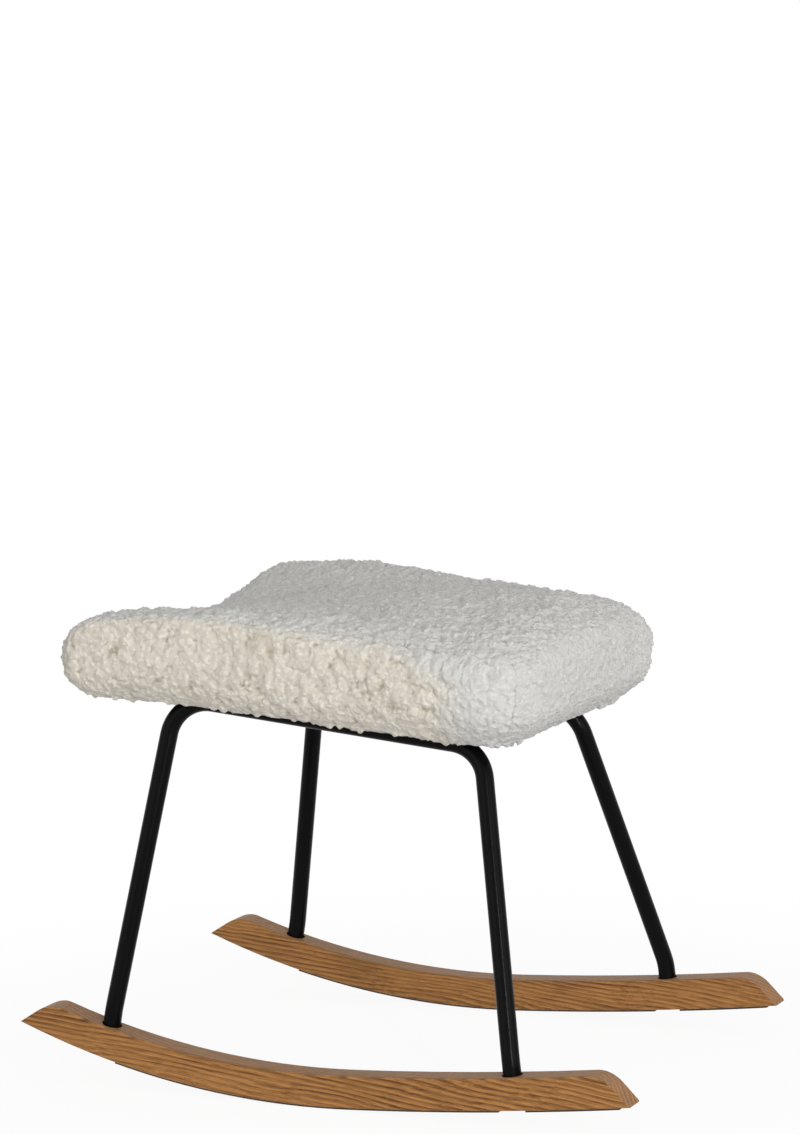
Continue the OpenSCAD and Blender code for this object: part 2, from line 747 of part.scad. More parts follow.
rocker(-1);  // near_rocker
rocker(1);  // far_rocker
middle_strip(-1);  // near_middle_strip
end_strip(-1);  // near_end_strip
middle_strip(1);  // far_middle_strip
end_strip(1);  // far_end_strip
side_frame(-1);  // near_side_frame
side_frame(1);  // far_side_frame
cross_tube(0);  // high_cross_tube
cross_tube(1);  // low_cross_tube
corner_plate(0, -1);  // near_high_corner_plate
corner_plate(1, -1);  // near_low_corner_plate
corner_plate(0, 1);  // far_high_corner_plate
corner_plate(1, 1);  // far_low_corner_plate
leg_plugs();
leg_bolts();
leg_washers();
seat_board();
tee_nuts();
seat_screws();
seat_washers();
bottom_cloth();
foam_pad();
cover_main_panel();
cover_side_panel(-1);  // cover_near_panel
cover_side_panel(1);  // cover_far_panel
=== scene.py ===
import math

import bmesh
import bpy
import numpy as np
from mathutils import Matrix, Vector, noise
from mathutils.bvhtree import BVHTree


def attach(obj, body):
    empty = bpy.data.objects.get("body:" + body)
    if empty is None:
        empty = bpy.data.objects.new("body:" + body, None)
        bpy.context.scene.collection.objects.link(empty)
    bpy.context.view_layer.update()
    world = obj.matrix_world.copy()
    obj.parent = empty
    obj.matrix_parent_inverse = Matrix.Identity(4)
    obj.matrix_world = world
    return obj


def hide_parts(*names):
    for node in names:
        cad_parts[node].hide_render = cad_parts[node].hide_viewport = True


# noise_vector takes its offsets from the clock unless a seed is set
noise.seed_set(1)

print("loading the frame")
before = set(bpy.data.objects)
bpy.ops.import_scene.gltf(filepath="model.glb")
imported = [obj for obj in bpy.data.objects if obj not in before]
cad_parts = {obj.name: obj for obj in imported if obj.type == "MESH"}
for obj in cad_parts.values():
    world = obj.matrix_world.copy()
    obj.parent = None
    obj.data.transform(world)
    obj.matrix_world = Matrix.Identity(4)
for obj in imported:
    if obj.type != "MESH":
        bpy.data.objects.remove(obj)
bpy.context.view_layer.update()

mm = 0.001

# the camera stands where the photograph was taken from
camera = {
    "place": (1.46664, -3.1241, 0.90360),
    "right": (0.906919, 0.420339, -0.028501),
    "forward": (-0.420300, 0.898016, -0.130061),
    "focalPixels": 3852.9,
    "longSide": 1134,
    "sensor": 36,
    "clip": (0.05, 60),
}


def makeCamera(c):
    forward = Vector(c["forward"]).normalized()
    right = Vector(c["right"])
    right = (right - right.dot(forward) * forward).normalized()
    up = right.cross(forward)
    data = bpy.data.cameras.new("stoolCamera")
    data.sensor_width = c["sensor"]
    data.lens = c["focalPixels"] / c["longSide"] * c["sensor"]
    data.clip_start, data.clip_end = c["clip"]
    made = bpy.data.objects.new("stoolCamera", data)
    turn = Matrix((right, up, -forward)).transposed().to_4x4()
    made.matrix_world = Matrix.Translation(Vector(c["place"])) @ turn
    bpy.context.scene.collection.objects.link(made)
    bpy.context.scene.camera = made


makeCamera(camera)
bpy.context.scene.view_settings.view_transform = "Standard"


# short names for the nodes of one tree
class Nodes:
    def __init__(self, tree):
        self.tree = tree

    def add(self, kind, settings=None, **inputs):
        node = self.tree.nodes.new(kind)
        for key, value in (settings or {}).items():
            setattr(node, key, value)
        for key, value in inputs.items():
            self.feed(node.inputs[key.replace("_", " ")], value)
        return node

    def feed(self, socket, value):
        if isinstance(value, bpy.types.NodeSocket):
            self.tree.links.new(value, socket)
        else:
            socket.default_value = value

    def math(self, operation, *values):
        node = self.tree.nodes.new("ShaderNodeMath")
        node.operation = operation
        for socket, value in zip(node.inputs, values):
            self.feed(socket, value)
        return node.outputs[0]

    def noise(self, vector, scale, detail=3.0, rough=0.5):
        node = self.add("ShaderNodeTexNoise", Vector=vector, Scale=scale, Detail=detail,
                        Roughness=rough)
        return node.outputs["Fac"]

    def ramp(self, value, low, high, toLow=0.0, toHigh=1.0):
        node = self.add("ShaderNodeMapRange", {"interpolation_type": "SMOOTHSTEP"}, Value=value,
                        From_Min=low, From_Max=high, To_Min=toLow, To_Max=toHigh)
        return node.outputs["Result"]

    def blend(self, share, a, b, kind="MIX"):
        node = self.tree.nodes.new("ShaderNodeMix")
        node.data_type = "RGBA"
        node.blend_type = kind
        self.feed(node.inputs[0], share)
        self.feed(node.inputs[6], a)
        self.feed(node.inputs[7], b)
        return node.outputs[2]

    def stretch(self, vector, scale):
        return self.add("ShaderNodeMapping", Vector=vector, Scale=scale).outputs[0]


def makeGroup(name, inputs, outputs):
    tree = bpy.data.node_groups.new(name, "ShaderNodeTree")
    for label, kind, value in inputs:
        socket = tree.interface.new_socket(label, in_out="INPUT", socket_type=kind)
        socket.default_value = value
    for label, kind in outputs:
        tree.interface.new_socket(label, in_out="OUTPUT", socket_type=kind)
    start = tree.nodes.new("NodeGroupInput")
    end = tree.nodes.new("NodeGroupOutput")
    return tree, Nodes(tree), start.outputs, end.inputs


colourKind = "NodeSocketColor"
floatKind = "NodeSocketFloat"
finishOutputs = [("Color", colourKind), ("Roughness", floatKind), ("Height", floatKind)]


# the grain's run: stretches along the wood, the lean of its rings and how far they wander
grainForm = {"slow": (5, 14, 14), "wander": (0.0, 0.026, 0.012), "lean": 0.10, "pith": 0.11,
             "flat": 0.8, "bands": (3, 30, 60), "fibre": (20, 1000, 1000),
             "pore": (80, 1700, 1700), "patch": (4, 9, 20), "lineShare": 0.6, "fibreShare": 0.5}


def makeWoodGrain(g):
    tree, n, given, out = makeGroup("woodGrain", [
        ("Pale", colourKind, (0.5, 0.3, 0.15, 1)),
        ("Dark", colourKind, (0.3, 0.16, 0.07, 1)),
        ("Line Spacing", floatKind, 0.0035),
        ("Top Shade", floatKind, 0.3),
    ], finishOutputs)
    where = n.add("ShaderNodeTexCoord").outputs["Object"]
    slow = n.add("ShaderNodeTexNoise", Vector=n.stretch(where, g["slow"]), Scale=1.0, Detail=2.0)
    shift = n.add("ShaderNodeVectorMath", {"operation": "SUBTRACT"})
    n.feed(shift.inputs[0], slow.outputs["Color"])
    shift.inputs[1].default_value = (0.5, 0.5, 0.5)
    scaled = n.add("ShaderNodeVectorMath", {"operation": "MULTIPLY"})
    n.feed(scaled.inputs[0], shift.outputs[0])
    scaled.inputs[1].default_value = g["wander"]
    moved = n.add("ShaderNodeVectorMath", {"operation": "ADD"})
    n.feed(moved.inputs[0], where)
    n.feed(moved.inputs[1], scaled.outputs[0])
    parts = n.add("ShaderNodeSeparateXYZ", Vector=moved.outputs[0])
    tilted = n.math("ADD", parts.outputs["Z"], n.math("MULTIPLY", parts.outputs["X"], g["lean"]))
    grain = n.add("ShaderNodeCombineXYZ", X=parts.outputs["X"], Y=parts.outputs["Y"],
                  Z=tilted).outputs[0]
    across = n.math("MULTIPLY", parts.outputs["Y"], g["flat"])
    ring = n.math("SQRT", n.math("ADD", n.math("POWER", n.math("ADD", tilted, g["pith"]), 2.0),
                                 n.math("POWER", across, 2.0)))
    phase = n.math("DIVIDE", ring, given["Line Spacing"])
    saw = n.math("FRACT", phase)
    lateWood = n.math("MULTIPLY", n.ramp(saw, 0.15, 0.8), n.ramp(saw, 1.0, 0.86))
    strength = n.noise(n.stretch(where, g["bands"]), 1.0, 2.0)
    lines = n.math("MULTIPLY", lateWood, n.ramp(strength, 0.3, 0.7, 0.45, 1.0))
    fibre = n.noise(n.stretch(grain, g["fibre"]), 1.0, 4.0, 0.72)
    pore = n.ramp(n.noise(n.stretch(grain, g["pore"]), 1.0, 1.0), 0.6, 0.7)
    broad = n.noise(n.stretch(where, g["patch"]), 1.0, 2.0)
    mask = n.math("ADD", n.math("MULTIPLY", lines, g["lineShare"]),
                  n.math("MULTIPLY", n.ramp(fibre, 0.38, 0.66), g["fibreShare"]))
    base = n.blend(mask, given["Pale"], given["Dark"])
    toned = n.blend(n.ramp(broad, 0.3, 0.7, 0.0, 0.35), base, (0.74, 0.70, 0.66, 1), "MULTIPLY")
    pored = n.blend(n.math("MULTIPLY", pore, 0.6), toned, (0.42, 0.33, 0.27, 1), "MULTIPLY")
    # faces that look upward are painted darker and greyer: painted shade on the tops of the rockers
    facing = n.add("ShaderNodeSeparateXYZ", Vector=n.add("ShaderNodeNewGeometry").outputs["Normal"])
    upward = n.math("MULTIPLY", n.ramp(facing.outputs["Z"], 0.4, 0.9), given["Top Shade"])
    topShadeTone = n.blend(0.55, pored, (0.26, 0.155, 0.082, 1))
    n.feed(out["Color"], n.blend(upward, pored, topShadeTone))
    n.feed(out["Roughness"], n.ramp(fibre, 0.2, 0.8, 0.42, 0.56))
    height = n.math("SUBTRACT", n.math("MULTIPLY", fibre, 0.5), n.math("MULTIPLY", pore, 0.5))
    n.feed(out["Height"], n.math("SUBTRACT", height, n.math("MULTIPLY", lines, 0.2)))
    return tree


def makePowderCoat():
    tree, n, given, out = makeGroup("powderCoat", [
        ("Coat", colourKind, (0.01, 0.01, 0.01, 1)),
        ("Dust", colourKind, (0.06, 0.058, 0.055, 1)),
        ("Dust Share", floatKind, 0.15),
    ], finishOutputs)
    where = n.add("ShaderNodeTexCoord").outputs["Object"]
    peel = n.noise(where, 900.0, 2.0, 0.6)
    cloud = n.noise(where, 35.0, 3.0, 0.6)
    facing = n.add("ShaderNodeSeparateXYZ", Vector=n.add("ShaderNodeNewGeometry").outputs["Normal"])
    upward = n.ramp(facing.outputs["Z"], 0.2, 1.0, 0.25, 1.0)
    dust = n.math("MULTIPLY", n.math("MULTIPLY", n.ramp(cloud, 0.45, 0.75), upward),
                  given["Dust Share"])
    n.feed(out["Color"], n.blend(dust, given["Coat"], given["Dust"]))
    n.feed(out["Roughness"], n.ramp(cloud, 0.3, 0.7, 0.19, 0.25))
    n.feed(out["Height"], peel)
    return tree


# the fleece's finest forms: the bend of its ringlets, its fibres and its darker patches
fleeceForm = {"bend": 190.0, "push": 0.006, "twist": 2.2, "patch": 16.0, "patchShare": 0.18,
              "curlShadeShare": 0.28, "fibreHigh": 0.3, "curlHigh": 0.8}


def makeFleeceCurls(f):
    tree, n, given, out = makeGroup("fleeceCurls", [
        ("Cool Tip", colourKind, (0.7, 0.7, 0.68, 1)),
        ("Cool Pit Shade And Patch", colourKind, (0.4, 0.39, 0.36, 1)),
        ("Warm Tip", colourKind, (0.8, 0.75, 0.68, 1)),
        ("Warm Pit Shade And Patch", colourKind, (0.5, 0.43, 0.33, 1)),
        ("Fibre Scale", floatKind, 900.0),
        ("Curl Scale", floatKind, 260.0),
    ], finishOutputs)
    where = n.add("ShaderNodeTexCoord").outputs["Object"]
    pitShadeShare = n.add("ShaderNodeAttribute", {"attribute_name": "pitShadeDepth"}).outputs["Fac"]
    sideCreamAndLight = n.add("ShaderNodeAttribute", {"attribute_name": "sideCreamAndLight"}).outputs["Fac"]
    fibre = n.add("ShaderNodeTexNoise", Vector=where, Scale=given["Fibre Scale"], Detail=3.0,
                  Roughness=0.65, Distortion=f["twist"]).outputs["Fac"]
    bend = n.add("ShaderNodeTexNoise", Vector=where, Scale=f["bend"], Detail=2.0).outputs["Color"]
    push = n.add("ShaderNodeVectorMath", {"operation": "SCALE"}, Scale=f["push"])
    n.feed(push.inputs[0], bend)
    bent = n.add("ShaderNodeVectorMath", {"operation": "ADD"})
    n.feed(bent.inputs[0], where)
    n.feed(bent.inputs[1], push.outputs[0])
    ringlet = n.add("ShaderNodeTexVoronoi", {"feature": "SMOOTH_F1"}, Vector=bent.outputs[0],
                    Scale=given["Curl Scale"], Smoothness=0.5, Randomness=1.0).outputs["Distance"]
    curl = n.ramp(ringlet, 0.62, 0.1)
    patch = n.noise(where, f["patch"], 3.0, 0.55)
    # the pits and the valleys between ringlets are painted darker: painted shade in the pile's hollows;
    # the random darker patches take the same dark tone
    deep = n.math("MULTIPLY", n.ramp(pitShadeShare, 0.56, 0.14), n.ramp(fibre, 0.25, 0.7, 0.7, 1.0))
    # the sideways faces are painted warmer and brighter than the top: partly painted light
    tip = n.blend(sideCreamAndLight, given["Cool Tip"], given["Warm Tip"])
    pitShadeAndPatch = n.blend(sideCreamAndLight, given["Cool Pit Shade And Patch"], given["Warm Pit Shade And Patch"])
    base = n.blend(deep, tip, pitShadeAndPatch)
    toned = n.blend(n.ramp(patch, 0.4, 0.75, 0.0, f["patchShare"]), base, pitShadeAndPatch)
    valleyShade = n.math("MULTIPLY", n.ramp(curl, 0.55, 0.05), f["curlShadeShare"])
    n.feed(out["Color"], n.blend(valleyShade, toned, pitShadeAndPatch))
    n.feed(out["Roughness"], n.ramp(fibre, 0.3, 0.7, 0.95, 0.82))
    n.feed(out["Height"], n.math("ADD", n.math("MULTIPLY", fibre, f["fibreHigh"]),
                                 n.math("MULTIPLY", curl, f["curlHigh"])))
    return tree


def makeMottle():
    tree, n, given, out = makeGroup("mottle", [
        ("Base", colourKind, (0.5, 0.5, 0.5, 1)),
        ("Spot", colourKind, (0.3, 0.3, 0.3, 1)),
        ("Spot Scale", floatKind, 60.0),
        ("Grit Scale", floatKind, 900.0),
        ("Rough Low", floatKind, 0.5),
        ("Rough High", floatKind, 0.7),
    ], finishOutputs)
    where = n.add("ShaderNodeTexCoord").outputs["Object"]
    spot = n.noise(where, given["Spot Scale"], 3.0, 0.6)
    grit = n.noise(where, given["Grit Scale"], 2.0, 0.6)
    n.feed(out["Color"], n.blend(n.ramp(spot, 0.35, 0.7), given["Base"], given["Spot"]))
    span = n.math("SUBTRACT", given["Rough High"], given["Rough Low"])
    n.feed(out["Roughness"], n.math("ADD", given["Rough Low"], n.math("MULTIPLY", spot, span)))
    n.feed(out["Height"], grit)
    return tree


woodGrain = makeWoodGrain(grainForm)
powderCoat = makePowderCoat()
fleeceCurls = makeFleeceCurls(fleeceForm)
mottle = makeMottle()


def makeMaterial(name, group, values, bump, distance, shader=None):
    made = bpy.data.materials.new(name)
    made.use_nodes = True
    tree = made.node_tree
    tree.nodes.clear()
    n = Nodes(tree)
    effect = tree.nodes.new("ShaderNodeGroup")
    effect.node_tree = group
    for key, value in values.items():
        effect.inputs[key].default_value = value
    surface = tree.nodes.new("ShaderNodeBsdfPrincipled")
    for key, value in (shader or {}).items():
        surface.inputs[key].default_value = value
    relief = n.add("ShaderNodeBump", Strength=bump, Distance=distance,
                   Height=effect.outputs["Height"])
    n.feed(surface.inputs["Base Color"], effect.outputs["Color"])
    n.feed(surface.inputs["Roughness"], effect.outputs["Roughness"])
    n.feed(surface.inputs["Normal"], relief.outputs["Normal"])
    end = tree.nodes.new("ShaderNodeOutputMaterial")
    tree.links.new(surface.outputs[0], end.inputs[0])
    return made


print("making the materials")
# the rockers get painted shade on their upward faces, the board gets none
rockerWood = makeMaterial("rockerWood", woodGrain, {
    "Pale": (0.47, 0.218, 0.066, 1), "Dark": (0.085, 0.030, 0.006, 1),
    "Line Spacing": 0.0031, "Top Shade": 0.75}, 0.35, 0.0004, {"Specular IOR Level": 0.22})
boardWood = makeMaterial("boardWood", woodGrain, {
    "Pale": (0.62, 0.45, 0.27, 1), "Dark": (0.42, 0.27, 0.14, 1),
    "Line Spacing": 0.009, "Top Shade": 0.0}, 0.4, 0.0005)
blackCoat = makeMaterial("blackCoat", powderCoat, {
    "Coat": (0.0024, 0.0024, 0.0024, 1), "Dust Share": 0.02}, 0.08, 0.0002,
    {"Specular IOR Level": 0.06})
zincPlate = makeMaterial("zincPlate", mottle, {
    "Base": (0.62, 0.63, 0.65, 1), "Spot": (0.45, 0.46, 0.49, 1), "Spot Scale": 160.0,
    "Grit Scale": 2200.0, "Rough Low": 0.26, "Rough High": 0.5}, 0.15, 0.0001, {"Metallic": 1.0})
glideFelt = makeMaterial("glideFelt", mottle, {
    "Base": (0.030, 0.021, 0.016, 1), "Spot": (0.055, 0.042, 0.034, 1), "Spot Scale": 90.0,
    "Grit Scale": 1500.0, "Rough Low": 0.75, "Rough High": 0.95}, 0.5, 0.0005)
blackCloth = makeMaterial("blackCloth", mottle, {
    "Base": (0.022, 0.022, 0.024, 1), "Spot": (0.036, 0.036, 0.038, 1), "Spot Scale": 40.0,
    "Grit Scale": 1300.0, "Rough Low": 0.8, "Rough High": 0.95}, 0.6, 0.0004)
seatFoam = makeMaterial("seatFoam", mottle, {
    "Base": (0.80, 0.70, 0.45, 1), "Spot": (0.72, 0.60, 0.36, 1), "Spot Scale": 30.0,
    "Grit Scale": 1100.0, "Rough Low": 0.85, "Rough High": 0.95}, 0.8, 0.0008)
softShader = {"Sheen Weight": 0.15, "Sheen Roughness": 0.5, "Specular IOR Level": 0.08,
              "Subsurface Weight": 0.3, "Subsurface Radius": (1.0, 0.92, 0.82),
              "Subsurface Scale": 0.0035}
# the pit tones are painted shade in the hollows of the pile
fleeceTones = {"Cool Tip": (0.655, 0.65, 0.63, 1), "Cool Pit Shade And Patch": (0.43, 0.42, 0.385, 1),
               # warm tones: the sides painted brighter than the top, partly painted light
               "Warm Tip": (0.735, 0.695, 0.622, 1), "Warm Pit Shade And Patch": (0.385, 0.325, 0.24, 1)}
topFleece = makeMaterial("topFleece", fleeceCurls, {**fleeceTones, "Curl Scale": 270.0},
                         0.8, 0.0016, softShader)
sideFleece = makeMaterial("sideFleece", fleeceCurls, {**fleeceTones, "Curl Scale": 215.0},
                          0.62, 0.0016, softShader)

nodeMaterials = {
    "near_rocker": rockerWood, "far_rocker": rockerWood,
    "near_middle_strip": glideFelt, "far_middle_strip": glideFelt,
    "near_end_strip": glideFelt, "far_end_strip": glideFelt,
    "near_side_frame": blackCoat, "far_side_frame": blackCoat,
    "high_cross_tube": blackCoat, "low_cross_tube": blackCoat,
    "near_high_corner_plate": blackCoat, "near_low_corner_plate": blackCoat,
    "far_high_corner_plate": blackCoat, "far_low_corner_plate": blackCoat,
    "leg_plugs": zincPlate, "leg_bolts": zincPlate, "leg_washers": zincPlate,
    "tee_nuts": zincPlate, "seat_screws": zincPlate, "seat_washers": zincPlate,
    "seat_board": boardWood,
}
for nodeName, material in nodeMaterials.items():
    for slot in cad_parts[nodeName].material_slots:
        slot.material = material


def makeObject(name, points, faces, material, smooth=True):
    mesh = bpy.data.meshes.new(name)
    mesh.from_pydata([tuple(p) for p in points], [], faces)
    mesh.materials.append(material)
    mesh.update()
    if smooth:
        mesh.shade_smooth()
    made = bpy.data.objects.new(name, mesh)
    bpy.context.scene.collection.objects.link(made)
    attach(made, "root")
    return made


# the seat pad's form, in millimetres: the part's own, with rounder edges at the high end
pad = {
    "length": 425, "highWidth": 409, "lowWidth": 324, "thickness": 89, "overhang": 90,
    "highCorner": 29, "lowCorner": 54, "cornerGrowth": 5.5, "topRound": 16, "lowTopRound": 31,
    "highRound": 9, "cornerDrop": 15, "lowRound": 38, "hemSag": 15, "sagGrowth": 3.5, "hemRise": 5,
    "dip": 32, "crown": 14, "highFall": 25.5, "lowRise": 10, "endSwell": 8, "sideSwell": 4,
    "sideDraw": 5, "endDraw": 1, "hem": 30, "fleece": 8, "boardLevel": 8, "foamLevel": 20,
    "highFallShare": 0.28, "lowRiseShare": 0.15, "saddleReach": 0.8, "hemSpread": 34,
    "hemTurn": 0.75, "hemRows": 14, "hemStart": 0.06, "hemEdge": 0.6, "endLean": 5,
    "highSwell": 6, "liftFrom": 6,
}
seat = {"highCorner": (-150.4, 349.1), "slope": 8.0, "bottom": 3.8, "barLength": 281,
        "highSpan": 291, "lowSpan": 212, "tube": 8.0, "cross": 7.0, "crossAlong": (54, 227)}
padWidth = (pad["highWidth"] + pad["lowWidth"]) / 2
padTaper = (pad["highWidth"] - pad["lowWidth"]) / (pad["highWidth"] + pad["lowWidth"])


def mix(a, b, share):
    return a + (b - a) * share


def fall(share, start):
    return np.maximum(0, (share - start) / (1 - start)) ** 2


def swell(share):
    return 1 - (2 * share - 1) ** 2


def padForm(p):
    x, y, z = p[..., 0], p[..., 1], p[..., 2]
    a, b, g = 2 * x / pad["length"], 2 * y / padWidth, z / pad["thickness"]
    room = pad["thickness"] - 2 * pad["fleece"] - pad["liftFrom"]
    lift = np.clip((z - pad["liftFrom"]) / room, 0, 1)
    low = (1 - np.clip(a, -1.2, 1)) / 2
    hemMove = pad["hemRise"] * fall(a, 0) - pad["hemSag"] * low ** pad["sagGrowth"]
    sideMove = pad["sideSwell"] * swell(g) - pad["sideDraw"] * (1 - a * a)
    t = np.clip((a + 1) / (2 * pad["saddleReach"]), 0, 1)
    saddle = (1 + np.cos(np.pi * t)) / 2
    topMove = ((1 - b * b) * (pad["crown"] * (1 - saddle) - pad["dip"] * saddle)
               - pad["highFall"] * fall(-a, pad["highFallShare"])
               + pad["lowRise"] * fall(a, pad["lowRiseShare"]))
    drawn = pad["endDraw"] * (1 - b * b) * np.maximum(0, -a) ** 2
    return np.stack([
        x + a * np.where(a > 0, pad["endSwell"], pad["highSwell"]) * swell(g) + drawn
        - pad["endLean"] * np.maximum(0, -a) ** 4 * (1 - g),
        y * (1 - padTaper * a) + b * sideMove,
        z + lift * topMove + hemMove * np.maximum(0, 1 - z / pad["hemSpread"]) ** 1.5,
    ], -1)


def boxPoint(u, v, w):
    turn = np.tan(np.radians(45 * np.stack([u[..., 1], v[..., 1], w[..., 1]], -1)))
    way = turn / np.maximum(np.linalg.norm(turn, axis=-1, keepdims=True), 0.001)
    share = (u[..., 0] + 1) / 2
    edge = mix(pad["highCorner"], pad["lowCorner"], share ** pad["cornerGrowth"])
    topRound = mix(pad["topRound"], pad["lowTopRound"], share ** pad["cornerGrowth"])
    ground = mix(pad["highRound"] + pad["cornerDrop"] * v[..., 0] ** 4, pad["lowRound"], share)
    half = pad["length"] / 2
    x = mix(pad["highCorner"] - half, half - pad["lowCorner"], share) + way[..., 0] * edge
    y = v[..., 0] * (padWidth / 2 - edge) + way[..., 1] * edge
    z = (mix(ground, pad["thickness"] - topRound, (w[..., 0] + 1) / 2)
         + way[..., 2] * np.where(way[..., 2] > 0, topRound, ground))
    return np.stack([x, y, z], -1)


def edgeWay(flats, turns):
    return np.array([(-1, i / turns - 1) for i in range(turns)]
                    + [(2 * i / flats - 1, 0) for i in range(flats + 1)]
                    + [(1, (i + 1) / turns) for i in range(turns)], float)


# the lowest row drawn inwards under the board, share 1 at the hem's own edge
def atBoard(points, share):
    shrink = 1 - 2 * share * pad["hem"] / padWidth
    height = points[..., 2] * (1 - min(1.0, share / pad["hemTurn"])) ** 2
    climb = max(0.0, share - pad["hemTurn"]) / (1 - pad["hemTurn"])
    height += climb * (pad["boardLevel"] - pad["hemEdge"])
    moved = points.copy()
    moved[..., 0] *= shrink
    moved[..., 1] *= shrink
    moved[..., 2] = height
    return moved


# steps of a fleece panel's first grid: along a flat side, up a side and round an edge
panelSteps = {"flats": 90, "heights": 24, "turns": 12}
flatWay = edgeWay(panelSteps["flats"], panelSteps["turns"])
heightWay = edgeWay(panelSteps["heights"], panelSteps["turns"])
hemSteps = np.linspace(1, pad["hemStart"], pad["hemRows"])


def mainRaw():
    count = len(flatWay)
    v = flatWay
    low, high = np.tile([-1.0, -1.0], (count, 1)), np.tile([1.0, 1.0], (count, 1))
    rows = [atBoard(boxPoint(low, v, low), s) for s in hemSteps]
    rows += [boxPoint(low, v, np.tile(w, (count, 1))) for w in heightWay]
    rows += [boxPoint(np.tile(u, (count, 1)), v, high) for u in flatWay[1:]]
    rows += [boxPoint(high, v, np.tile(w, (count, 1))) for w in heightWay[::-1][1:]]
    rows += [atBoard(boxPoint(high, v, low), s) for s in hemSteps[::-1]]
    return padForm(np.array(rows))


def sideRaw(side):
    count = len(flatWay)
    across = np.tile([float(side), float(side)], (count, 1))
    low = np.tile([-1.0, -1.0], (count, 1))
    rows = [atBoard(boxPoint(flatWay, across, low), s) for s in hemSteps]
    rows += [boxPoint(flatWay, across, np.tile(w, (count, 1))) for w in heightWay]
    return padForm(np.array(rows))


# the same sheet with its rows and columns about one spacing apart
def evened(grid, spacing):
    for axis in (0, 1):
        steps = np.linalg.norm(np.diff(grid, axis=axis), axis=-1).mean(axis=1 - axis)
        along = np.concatenate([[0], np.cumsum(steps)])
        count = int(round(along[-1] / spacing)) + 1
        wanted = np.interp(np.linspace(0, along[-1], count), along, np.arange(len(along)))
        base = np.minimum(wanted.astype(int), len(along) - 2)
        share = wanted - base
        if axis == 0:
            grid = grid[base] * (1 - share)[:, None, None] + grid[base + 1] * share[:, None, None]
        else:
            grid = (grid[:, base] * (1 - share)[None, :, None]
                    + grid[:, base + 1] * share[None, :, None])
    return grid


def gridNormals(grid, flip):
    along = np.gradient(grid, axis=0)
    across = np.gradient(grid, axis=1)
    normal = np.cross(along, across)
    normal /= np.maximum(np.linalg.norm(normal, axis=-1, keepdims=True), 1e-9)
    return -normal if flip else normal


slopeTurn = math.radians(seat["slope"])


# from millimetres along and above the sloping bars to the frame's metres
def seatPlaced(points):
    along, y, height = points[..., 0], points[..., 1], points[..., 2]
    x = seat["highCorner"][0] + along * math.cos(slopeTurn) + height * math.sin(slopeTurn)
    z = seat["highCorner"][1] - along * math.sin(slopeTurn) + height * math.cos(slopeTurn)
    return np.stack([x, y, z], -1) * mm


# from the pad's own millimetres to the frame's metres
def placed(points):
    p = np.array(points, float)
    p[..., 0] = p[..., 0] + pad["length"] / 2 - pad["overhang"]
    p[..., 2] += seat["bottom"]
    return seatPlaced(p)


# the stuffed pad: a closed form, blown up a little by a cloth simulation
stuffing = {"steps": 24, "heightSteps": 8, "turns": 5, "inset": 8.5, "voxel": 6.0, "cap": 5.0,
            "held": 6.0, "frames": 20, "quality": 6, "mass": 0.3, "stretch": 15, "shear": 5,
            "bend": 0.5, "pressure": 4.0, "foamShare": 0.985, "foamGap": 0.2}


def closedForm(steps, heightSteps, turns):
    meshes = []
    levelWay, upWay = edgeWay(steps, turns), edgeWay(heightSteps, turns)

    def sheet(rows, columns, pick):
        grid = np.array([[pick(r, c) for c in columns] for r in rows])
        meshes.append(padForm(boxPoint(grid[:, :, 0], grid[:, :, 1], grid[:, :, 2])))

    sheet(levelWay, levelWay, lambda u, v: (u, v, (1, 1)))
    sheet(levelWay, levelWay, lambda u, v: (u, v, (-1, -1)))
    for end in (-1, 1):
        sheet(upWay, levelWay, lambda w, v: ((end, end), v, w))
        sheet(upWay, levelWay, lambda w, u: (u, (end, end), w))
    shape = bmesh.new()
    for grid in meshes:
        rows, columns = grid.shape[:2]
        made = [[shape.verts.new(grid[i, j]) for j in range(columns)] for i in range(rows)]
        for i in range(rows - 1):
            for j in range(columns - 1):
                shape.faces.new((made[i][j], made[i + 1][j], made[i + 1][j + 1], made[i][j + 1]))
    bmesh.ops.remove_doubles(shape, verts=shape.verts, dist=0.05)
    bmesh.ops.recalc_face_normals(shape, faces=shape.faces)
    return shape


def stuffedPad(s):
    shape = closedForm(s["steps"], s["heightSteps"], s["turns"])
    shape.normal_update()
    moves = [(v, v.normal * s["inset"]) for v in shape.verts]
    for vertex, move in moves:
        vertex.co -= move
    mesh = bpy.data.meshes.new("stuffing")
    shape.to_mesh(mesh)
    shape.free()
    made = bpy.data.objects.new("stuffing", mesh)
    bpy.context.scene.collection.objects.link(made)
    for vertex in mesh.vertices:
        vertex.co *= mm
    remesh = made.modifiers.new("remesh", "REMESH")
    remesh.mode = "VOXEL"
    remesh.voxel_size = s["voxel"] * mm
    applyModifiers(made)
    swellPad(made, s)
    return made


def applyModifiers(thing):
    view = bpy.context.evaluated_depsgraph_get()
    mesh = bpy.data.meshes.new_from_object(thing.evaluated_get(view))
    thing.modifiers.clear()
    thing.data = mesh


